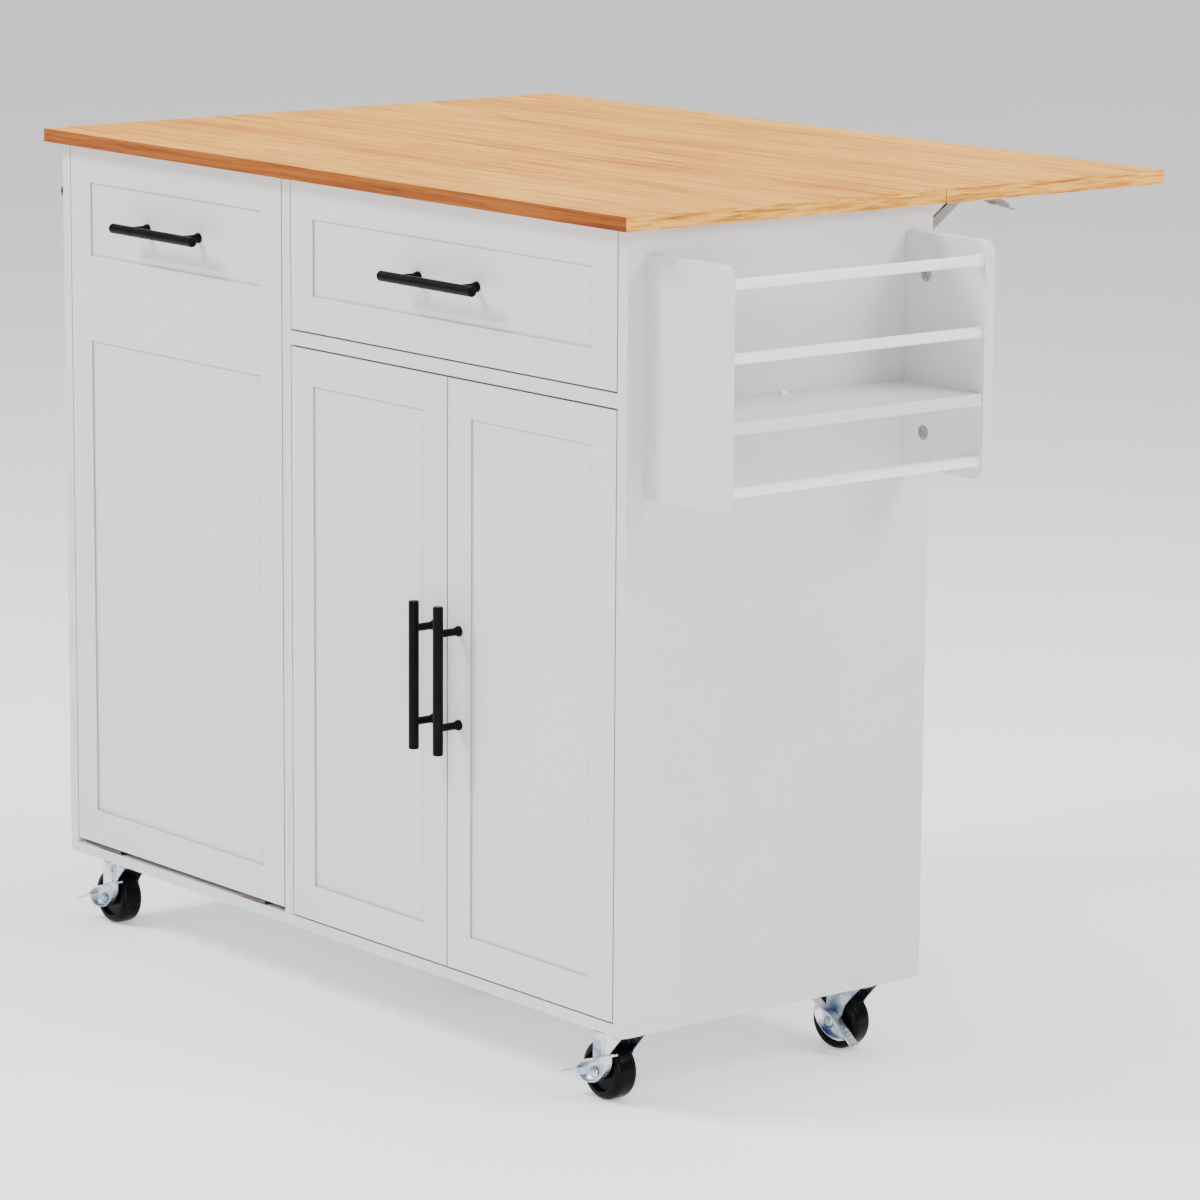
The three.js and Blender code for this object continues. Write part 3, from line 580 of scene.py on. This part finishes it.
def axle_place(name):
    """A place whose origin is the axle's middle: X forwards, Y along the axle, Z up."""
    spin = joints[f"{name}_wheel_spin"]
    side = Vector(spin["axis"]).normalized()
    forward = side.cross(Vector((0, 0, 1)))
    turn = Matrix((forward, side, (0, 0, 1))).transposed().to_4x4()
    return Matrix.Translation(spin["pos_m"]) @ turn


CASTERS = ("front_left", "front_right", "rear_left", "rear_right", "middle")
for name in CASTERS:
    print(name, [round(v, 3) for v in axle_place(name).translation])

# %% [markdown]
# ## Wheels
# A wheel has a tread with rounded shoulders, a disc that lies deeper on each side, and a hub
# that stands out round the bolt. It could be a cylinder with cuts, but all of it is round, so
# half of its profile is written once, mirrored for the other side, and turned round the axle.


# %% Wheels
def half_wheel():
    """The wheel's profile from the bore over one side to the middle of the tread."""
    turns = [math.radians(7.5 * i) for i in range(12, -1, -1)]
    tread = [(24.2 + 7.3 * math.cos(t), 6.2 + 7.6 * math.sin(t)) for t in turns]
    return points(
        (4.4, 12.6), (9.0, 12.6), (9.8, 11.8), (10.4, 9.6), (20.2, 9.6), (21.0, 10.6), (21.6, 13.2),
        (22.4, 13.8), *tread)


def caster_wheel(name):
    side = half_wheel()
    mirrored = [(r, -h) for r, h in reversed(side)]
    shape = Shape().turned([*side, *mirrored, side[0]], axle_place(name) @ FACING_FRONT, 72)
    solid = f"{name}_caster_wheel"
    piece = f"{name}_wheel_moulded"
    shape.made(piece, "wheel_black", f"{name}_wheel", [solid], smooth=32)


for name in CASTERS:
    caster_wheel(name)
print("wheels:", len(CASTERS))

# %% [markdown]
# ## Forks
# A fork is pressed from one sheet: a flat head under the ball race, and two legs that run down
# and back to the axle. Bending a sheet in a mesh takes many faces, and most of them would not
# show. So the head and the legs are cut as flat outlines. Each leg has a rear and a front
# outline, and the front one is thinner, because the pressing shows as a step there. The bolt
# has a rounded head on one side and a six-sided nut on the other.

# %% Forks and their bolts
LEG_REAR = points((-6, 44.4), (-6, 0), *arc((1, 0), 7, 180, 300, 8), (12, 4), (12, 44.4))
LEG_FRONT = points(
    (12, 44.4), (12, 4), (15, 10), (17, 16), (19, 20.5), (22.5, 25), (28, 31), (34, 37.5),
    (38, 42), (39.5, 44.4))
HEAD = points(
    (-6, -17.6), (31, -17.6), *arc((31, -7.6), 10, -90, 0, 8), *arc((31, 7.6), 10, 0, 90, 8),
    (-6, 17.6))
LEG_STEP = 0.6 * MM  # how much thinner the front of a leg is
BOLT_HEAD = points((0, 3.0), (2.5, 2.9), (4.6, 2.3), (5.9, 1.3), (6.4, 0.3), (6.2, 0), (0, 0))
BOLT_RADIUS = 4 * MM
NUT = points((0, 0), (6.4, 0), (6.4, 2.6), (5.8, 3), (0, 3))


def caster_fork(name):
    place = axle_place(name)
    shape = Shape()
    for side in (1, -1):
        for outline, step in ((LEG_REAR, 0), (LEG_FRONT, LEG_STEP)):
            low, high = sorted((side * LEG_INSIDE, side * (LEG_OUTSIDE - step)))
            shape.cut(outline, low, high, place @ FACING_FRONT)
    shape.cut(HEAD, HEAD_LOW, HEAD_HIGH, place)
    start = PEDAL_NEAR if name == "middle" else PEDAL_NEAR + PEDAL_SHEET + PLAY
    shape.turned(BOLT_HEAD, place @ FACING_FRONT @ Matrix.Translation((0, 0, start)), 36)
    bolt = [(0, -LEG_OUTSIDE), (BOLT_RADIUS, -LEG_OUTSIDE), (BOLT_RADIUS, start), (0, start)]
    shape.turned(bolt, place @ FACING_FRONT, 24)
    nut_place = place @ FACING_FRONT.inverted() @ Matrix.Translation((0, 0, LEG_OUTSIDE))
    shape.turned(NUT, nut_place, 6)
    solid = f"{name}_caster_fork"
    shape.made(f"{name}_fork_pressed", "zinc", f"{name}_swivel", [solid], bevel=0.35 * MM)


for name in CASTERS:
    caster_fork(name)
print("forks:", len(CASTERS))

# %% [markdown]
# ## Brake pedals
# A pedal is a folded sheet: a long strip for the foot, and an ear beside the wheel with a raised
# rim round it. Its outlines are points in millimetres from the axle, as seen from the side, and
# they are cut to the depth of the sheet. The middle caster has none. The rear right pedal is
# pressed, so that one is drawn like the others and then turned round the axle.

# %% Brake pedals
PEDAL_TURNS = {"rear_right": 60}  # degrees, for a pedal that is pressed
STRIP = [(-43, -8.6), (-25, -1.6), (-19, 2.6), (-8, 10.4), (-3, 12.6), (12, 17.2), (35, 24.2)]
STRIP_THICK = 2.0
EAR = [
    (-24, 0.1), (-21, -7.5), (-14, -11.5), (-6, -11.7), (5, -9.5), (12, -6), (19, 0.5),
    (23.5, 7.5), (25.5, 14)]
EAR_TOP = [(25.5, 22.3), (12, 18.2), (-3, 13.6), (-8, 11.4), (-19, 3.6)]
PEDAL_WIDE = 12 * MM
RIM_DEEP = 5 * MM
RIM = 0.9  # inner outline of the ear's rim, as a share of the outer one
RIB_PLACES = (15, 20, 25, 30)  # grip ribs on the strip's end
RIB_RADIUS = 0.9 * MM
RIB_ENDS = (2, 10)  # across the strip


def brake_pedal(name):
    """The pedal is drawn as it lies when the brake is off, and turned to how it lies here."""
    rest = PEDAL_TURNS.get(name, 0)
    place = axle_place(name) @ Matrix.Rotation(math.radians(rest), 4, "Y") @ FACING_FRONT
    upper = [(x, y + STRIP_THICK) for x, y in reversed(STRIP)]
    shape = Shape().cut(points(*STRIP, *upper), PEDAL_NEAR, PEDAL_NEAR + PEDAL_WIDE, place)
    shape.cut(points(*EAR, *EAR_TOP), PEDAL_NEAR, PEDAL_NEAR + PEDAL_SHEET, place)
    inner = [(x * RIM, y * RIM) for x, y in reversed(EAR)]
    wall = PEDAL_NEAR + PEDAL_SHEET
    shape.cut(points(*EAR, *inner), wall - 0.2 * PEDAL_SHEET, wall + RIM_DEEP, place)
    (x0, y0), (x1, y1) = STRIP[-2:]
    for x in RIB_PLACES:
        y = y0 + (x - x0) * (y1 - y0) / (x1 - x0) + STRIP_THICK
        start, end = (
            place @ Vector((x * MM, y * MM, PEDAL_NEAR + across * MM)) for across in RIB_ENDS)
        shape.rod(start, end, RIB_RADIUS, steps=12)
    solid = f"{name}_brake_pedal"
    shape.made(f"{name}_pedal_pressed", "zinc", f"{name}_brake", [solid], bevel=0.3 * MM)


for name in CASTERS[:4]:
    brake_pedal(name)
print("pedals: 4, pressed:", list(PEDAL_TURNS))

# %% [markdown]
# ## Caster plates
# A plate with rounded corners is screwed under the base board, and the ball race that the fork
# turns on hangs from it. Little of this shows from the side, so a cut sheet, a turned race and
# four round screw heads are enough.


# %% Plates, ball races and plate screws
PLATE_SHEET = 2.5 * MM
PLATE_CORNER = 5 * MM
SCREW_INSET = 8 * MM
PLATE_SCREW = points((0, -2.2), (2.2, -2.0), (3.8, -1.2), (4.3, 0.2), (0, 0.2))


def caster_plate(name):
    low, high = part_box(f"{name}_caster_plate")
    middle = (low + high) / 2
    under = high.z - PLATE_SHEET
    outline = rounded(low.x, high.x, low.y, high.y, PLATE_CORNER)
    shape = Shape().cut(outline, under, high.z, FLAT)
    race = [
        (0, low.z), (12 * MM, low.z), (15.5 * MM, low.z + 0.3 * MM),
        (17.6 * MM, low.z + 1.6 * MM), (18 * MM, under), (0, under)]
    shape.turned(race, Matrix.Translation((middle.x, middle.y, 0)), 48)
    for x in (low.x + SCREW_INSET, high.x - SCREW_INSET):
        for y in (low.y + SCREW_INSET, high.y - SCREW_INSET):
            shape.turned(PLATE_SCREW, Matrix.Translation((x, y, under)), 20)
    solid = f"{name}_caster_plate"
    shape.made(f"{name}_plate_pressed", "zinc", "cabinet", [solid], bevel=0.3 * MM)


for name in CASTERS:
    caster_plate(name)
print("plates:", len(CASTERS))

# %% [markdown]
# ## Screws and rivets
# The pieces that hold the furniture together are small, but they are what the eye looks for. A
# screw head could be a plain disc, but its cross is what tells it from a rivet. Cutting a cross
# into a disc takes a boolean, which leaves poor faces at this size. So the cross is what is left
# open between four quarters of a disc, with a ring round them and a lower disc as its floor.


# %% Cross heads and rivets
SLOT_SHARE = 0.2  # width of the cross's slots, as a share of the head's radius


def cross_head(shape, place, radius, height):
    """A round head with a cross recess. Its outer side faces the place's Z axis."""
    shape.turned([(0, 0), (radius, 0), (radius, height * 0.4), (0, height * 0.4)], place, 32)
    inside, foot = radius * 0.74, height * 0.3
    ring = [
        (inside, foot), (radius, foot), (radius, height * 0.75), (radius * 0.92, height),
        (inside, height), (inside, foot)]
    shape.turned(ring, place, 32)
    gap = radius * SLOT_SHARE / 2
    reach = radius * 0.76
    edge = math.degrees(math.asin(gap / reach))
    quarter = [(gap, gap), *arc((0, 0), reach, edge, 90 - edge, 6)]
    for turn in range(4):
        spun = place @ Matrix.Rotation(math.radians(45 + 90 * turn), 4, "Z")
        shape.cut(quarter, foot, height * 0.96, spun)


def rivet(shape, at, outward, radius, height):
    profile = [
        (0, -height), (radius, 0), (radius * 0.85, height * 0.55), (radius * 0.5, height * 0.9),
        (0, height)]
    return shape.turned(profile, along(at, Vector(at) + Vector(outward)), 28)


print("two kinds of fastener: cross heads and rivets")

# %% [markdown]
# ## Cam locks and clip
# Each side of the spice rack has two cam locks in its inner face: metal discs with a cross. A
# small white clip sits on the shelf where it meets the cabinet. The locks could be painted on
# with a material, but as forms that stand out by a millimetre they catch the light at the rim.

# %% Cam locks of the spice rack, and the clip on its shelf
CAM_RADIUS = 7.5 * MM
CAM_HEIGHT = 1.1 * MM
CAM_OUT = 31 * MM  # from the cabinet's side
CAM_UP = 38 * MM, 202.5 * MM  # from the rack's lower edge
CLIP = points((0, -0.2), (6, -0.2), (6, 0.8), (2, 3.6), (0, 3.6))
CLIP_HALF = 3.5 * MM
for node, inner in (("rack_front_side", 1), ("rack_rear_side", -1)):
    low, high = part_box(node)
    face = high.y if inner > 0 else low.y
    locks = Shape()
    for up in CAM_UP:
        at = Vector((low.x + CAM_OUT, face, low.z + up))
        cross_head(locks, along(at, at + Vector((0, inner, 0))), CAM_RADIUS, CAM_HEIGHT)
    locks.made(node + "_cam_locks", "bracket_steel", "cabinet", smooth=30)
low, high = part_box("rack_shelf")
place = Matrix.Translation((low.x, (low.y + high.y) / 2, high.z)) @ FACING_FRONT
clip = Shape().cut(CLIP, -CLIP_HALF, CLIP_HALF, place)
clip.made("rack_shelf_clip", "rod_white", "cabinet", bevel=0.3 * MM)
print("cam locks: 4, clip: 1")

# %% [markdown]
# ## Rivets and screws of the brackets
# A folding bracket turns on rivets, one where its arm meets the wall leg and one at the foot of
# its strut, and the lever on the arm has one of its own. Two screws hold the leg to the back.
# The joints of the frame say where the pins lie, so each rivet is put on its own axis.

# %% Rivets and screws of the folding brackets
LEG_HALF = 12 * MM
LEG_FLANGE = 2.5 * MM  # thickness of the leg's back, which the screws sit on
LEVER_OUT = (9 + 0.4 + 2.2) * MM  # half the arm's width, the play, and the lever's sheet
PIN_RIVET = 4.2 * MM, 1.5 * MM  # radius and height
LEVER_RIVET = 3.4 * MM, 1.2 * MM
LEG_SCREW = 4.0 * MM, 1.8 * MM
LEG_SCREWS_UP = 9 * MM, 56 * MM  # from the leg's lower end
pivot = Vector(joints["leaf_drop"]["pos_m"])
for side, outward in (("left", -1), ("right", 1)):
    leg_low, leg_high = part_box(f"{side}_bracket_leg")
    x = (leg_low.x + leg_high.x) / 2
    strut_pin = Vector(joints[f"{side}_strut_fold"]["pos_m"])
    fixed = Shape()
    for y, z in ((pivot.y, pivot.z), (strut_pin.y, strut_pin.z)):
        for out in (-1, 1):
            rivet(fixed, (x + out * LEG_HALF, y, z), (out, 0, 0), *PIN_RIVET)
    for up in LEG_SCREWS_UP:
        at = Vector((x, leg_low.y + LEG_FLANGE, leg_low.z + up))
        cross_head(fixed, along(at, at + Vector((0, 1, 0))), *LEG_SCREW)
    fixed.made(f"{side}_bracket_rivets", "bracket_steel", "cabinet", smooth=35)
    stub = Vector(joints[f"{side}_lever_release"]["pos_m"])
    lever_face = x + outward * LEVER_OUT
    moving = rivet(Shape(), (lever_face, stub.y, stub.z), (outward, 0, 0), *LEVER_RIVET)
    moving.made(f"{side}_lever_rivet", "bracket_steel", "leaf", smooth=35)
print("bracket rivets and screws: 2 x 7")

# %% [markdown]
# ## Cups of the door hinges
# A concealed hinge has a cup that is let into the inside of the door, with a screw above and
# below it. They show only when a door is open. A turned disc with a raised rim stands for the
# cup, because its hollow lies inside the door.

# %% Cups of the door hinges
CUP = points((0, 0.3), (14.5, 0.3), (15, 0.9), (17, 0.9), (17.5, 0.5), (17.5, -0.1), (0, -0.1))
CUP_INSET = 21.5 * MM
HINGE_FROM_END = 95 * MM
CUP_SCREW = 3.6 * MM, 1.2 * MM  # radius and height
CUP_SCREW_UP = 24 * MM  # above and below the cup's middle
CUP_SCREW_OUT = 3 * MM  # towards the door's edge
for side, sign in (("left", 1), ("right", -1)):
    low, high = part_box(f"{side}_door")
    x = (low.x if sign > 0 else high.x) + sign * CUP_INSET
    cups = Shape()
    for z in (low.z + HINGE_FROM_END, high.z - HINGE_FROM_END):
        place = along((x, high.y, z), (x, high.y + 1, z))
        cups.turned(CUP, place, 48)
        for up in (-CUP_SCREW_UP, CUP_SCREW_UP):
            at = Vector((x - sign * CUP_SCREW_OUT, high.y, z + up))
            cross_head(cups, along(at, at + Vector((0, 1, 0))), *CUP_SCREW)
    cups.made(f"{side}_door_hinge_cups", "zinc", f"cupboard_{side}_door", smooth=35)
print("hinge cups: 4")

# %% [markdown]
# ## Wings of the door hinges
# On the cabinet's side, a hinge arm is screwed to a plate with a wing above and a wing below.
# The wings are flat sheet with rounded corners, so they are cut like the caster plates, and each
# wing and each arm gets the screws that hold it.

# %% Wings and screws of the door hinges
ARM_SCREW = 3.0 * MM, 0.9 * MM
ARM_SCREWS_BACK = 11 * MM, 33 * MM  # from the arm's front end
WING_SHEET = 2.5 * MM, 3.4 * MM  # from the wall to its near and its far face
WING_HALF = 8 * MM
ARM_HALF = 7 * MM
WING_REACH = 15 * MM  # of each wing, above and below the arm
WING_CORNER = 3 * MM
WING_BACK = 9 * MM  # from the wing's middle to the arm's rear end
for side, inward in (("left", 1), ("right", -1)):
    low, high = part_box(f"{side}_door_hinges")
    wall, arm_face = (low.x, high.x) if inward > 0 else (high.x, low.x)
    fittings = Shape()
    for z in (low.z + 2 * ARM_HALF, high.z - 2 * ARM_HALF):
        for back in ARM_SCREWS_BACK:
            at = Vector((arm_face, low.y + back, z))
            cross_head(fittings, along(at, at + Vector((inward, 0, 0))), *ARM_SCREW)
        for end in (-1, 1):
            at = Vector((wall, high.y - WING_BACK, z + end * (ARM_HALF + WING_REACH / 2)))
            place = Matrix.Translation(at) @ FACING_SIDE
            half = WING_REACH / 2
            wing = rounded(-WING_HALF, WING_HALF, -half, half, WING_CORNER)
            fittings.cut(wing, *sorted(inward * depth for depth in WING_SHEET), place)
            face = Vector((wall + inward * WING_SHEET[1], at.y, at.z))
            screw = along(face, face + Vector((inward, 0, 0)))
            cross_head(fittings, screw, *CUP_SCREW)
    fittings.made(f"{side}_hinge_wings", "zinc", "cabinet", smooth=35)
print("hinge wings: 8")

# %% [markdown]
# ## Floor and light
# A plain pale floor and four soft lamps show the piece without adding anything of their own. A
# pure white floor would swallow the pale boards and the shade under the casters, so it stays a
# light grey that glows a little. The key lamp stands to the front left, and the side lamp, the
# low fill lamp and the lamp above keep the right side and the top nearly as bright.

# %% Floor and light
FLOOR_HALF = 20.0
floor_mesh = bpy.data.meshes.new("studio_floor")
corners = [(x * FLOOR_HALF, y * FLOOR_HALF, 0) for x, y in ((-1, -1), (1, -1), (1, 1), (-1, 1))]
floor_mesh.from_pydata(corners, [], [(0, 1, 2, 3)])
floor = bpy.data.objects.new("studio_floor", floor_mesh)
bpy.context.scene.collection.objects.link(floor)
paper = Finish("studio_paper")
paper.surface("Base Color", paper.ramp(paper.noise(0.8), (0.4, grey(0.93)), (0.6, grey(0.95))))
paper.surface("Roughness", 0.85)
paper.surface("Emission Color", rgba(1.0, 1.0, 1.0))
paper.surface("Emission Strength", 0.4)  # lifts the ground towards white
floor_mesh.materials.append(paper.material)


def soft_lamp(name, place, aim, width, height, watts):
    lamp = bpy.data.lights.new(name, "AREA")
    lamp.shape, lamp.size, lamp.size_y = "RECTANGLE", width, height
    lamp.energy = watts
    obj = bpy.data.objects.new(name, lamp)
    bpy.context.scene.collection.objects.link(obj)
    obj.location = place
    obj.rotation_euler = (Vector(aim) - Vector(place)).to_track_quat("-Z", "Y").to_euler()


soft_lamp("key_lamp", (-2.0, -3.1, 3.9), (0, 0, 0.5), 1.4, 1.4, 262)
soft_lamp("side_lamp", (3.4, 1.5, 2.9), (0.3, 0, 0.6), 1.4, 1.4, 110)
soft_lamp("fill_lamp", (3.2, -2.6, 0.9), (0.2, 0, 0.5), 2.0, 1.6, 64)
soft_lamp("top_lamp", (0.3, 0.8, 3.6), (0, 0, 0.6), 2.6, 2.6, 110)
world = bpy.data.worlds.new("studio")
bpy.context.scene.world = world
world.use_nodes = True
background = world.node_tree.nodes["Background"].inputs
background["Color"].default_value = rgba(1.0, 1.0, 1.0)
background["Strength"].default_value = 0.55
print("floor and four lamps")

# %% [markdown]
# ## Camera
# The camera stands to the right of the front and above the worktop, and looks down a little. A
# near camera would make the cabinet taper downwards, so this one stands far away with a long
# lens, and the upright edges stay nearly parallel.

# %% Camera
CAMERA_PLACE = Vector((4.4211, -3.5474, 1.5247))
TURN, DIP, TILT = math.radians(51.211), math.radians(10.991), math.radians(0.382)
FRAME_PIXELS = 1200
FOCAL_PIXELS = 5187.7  # focal length in pixels of that frame
SENSOR = 36.0  # width in millimetres
camera = bpy.data.objects.new("camera", bpy.data.cameras.new("camera"))
bpy.context.scene.collection.objects.link(camera)
camera.data.sensor_width = SENSOR
camera.data.lens = FOCAL_PIXELS / FRAME_PIXELS * SENSOR
camera.data.clip_end = 60.0
look = Matrix.Rotation(TURN, 4, "Z") @ Matrix.Rotation(math.pi / 2 - DIP, 4, "X")
look = look @ Matrix.Rotation(TILT, 4, "Z")
camera.matrix_world = Matrix.Translation(CAMERA_PLACE) @ look
bpy.context.scene.camera = camera
print("lens", round(camera.data.lens, 1), "mm")

# %% [markdown]
# ## The size stays the same
# The dressed piece has to fill the same box as the solids. Both boxes are written down, so they
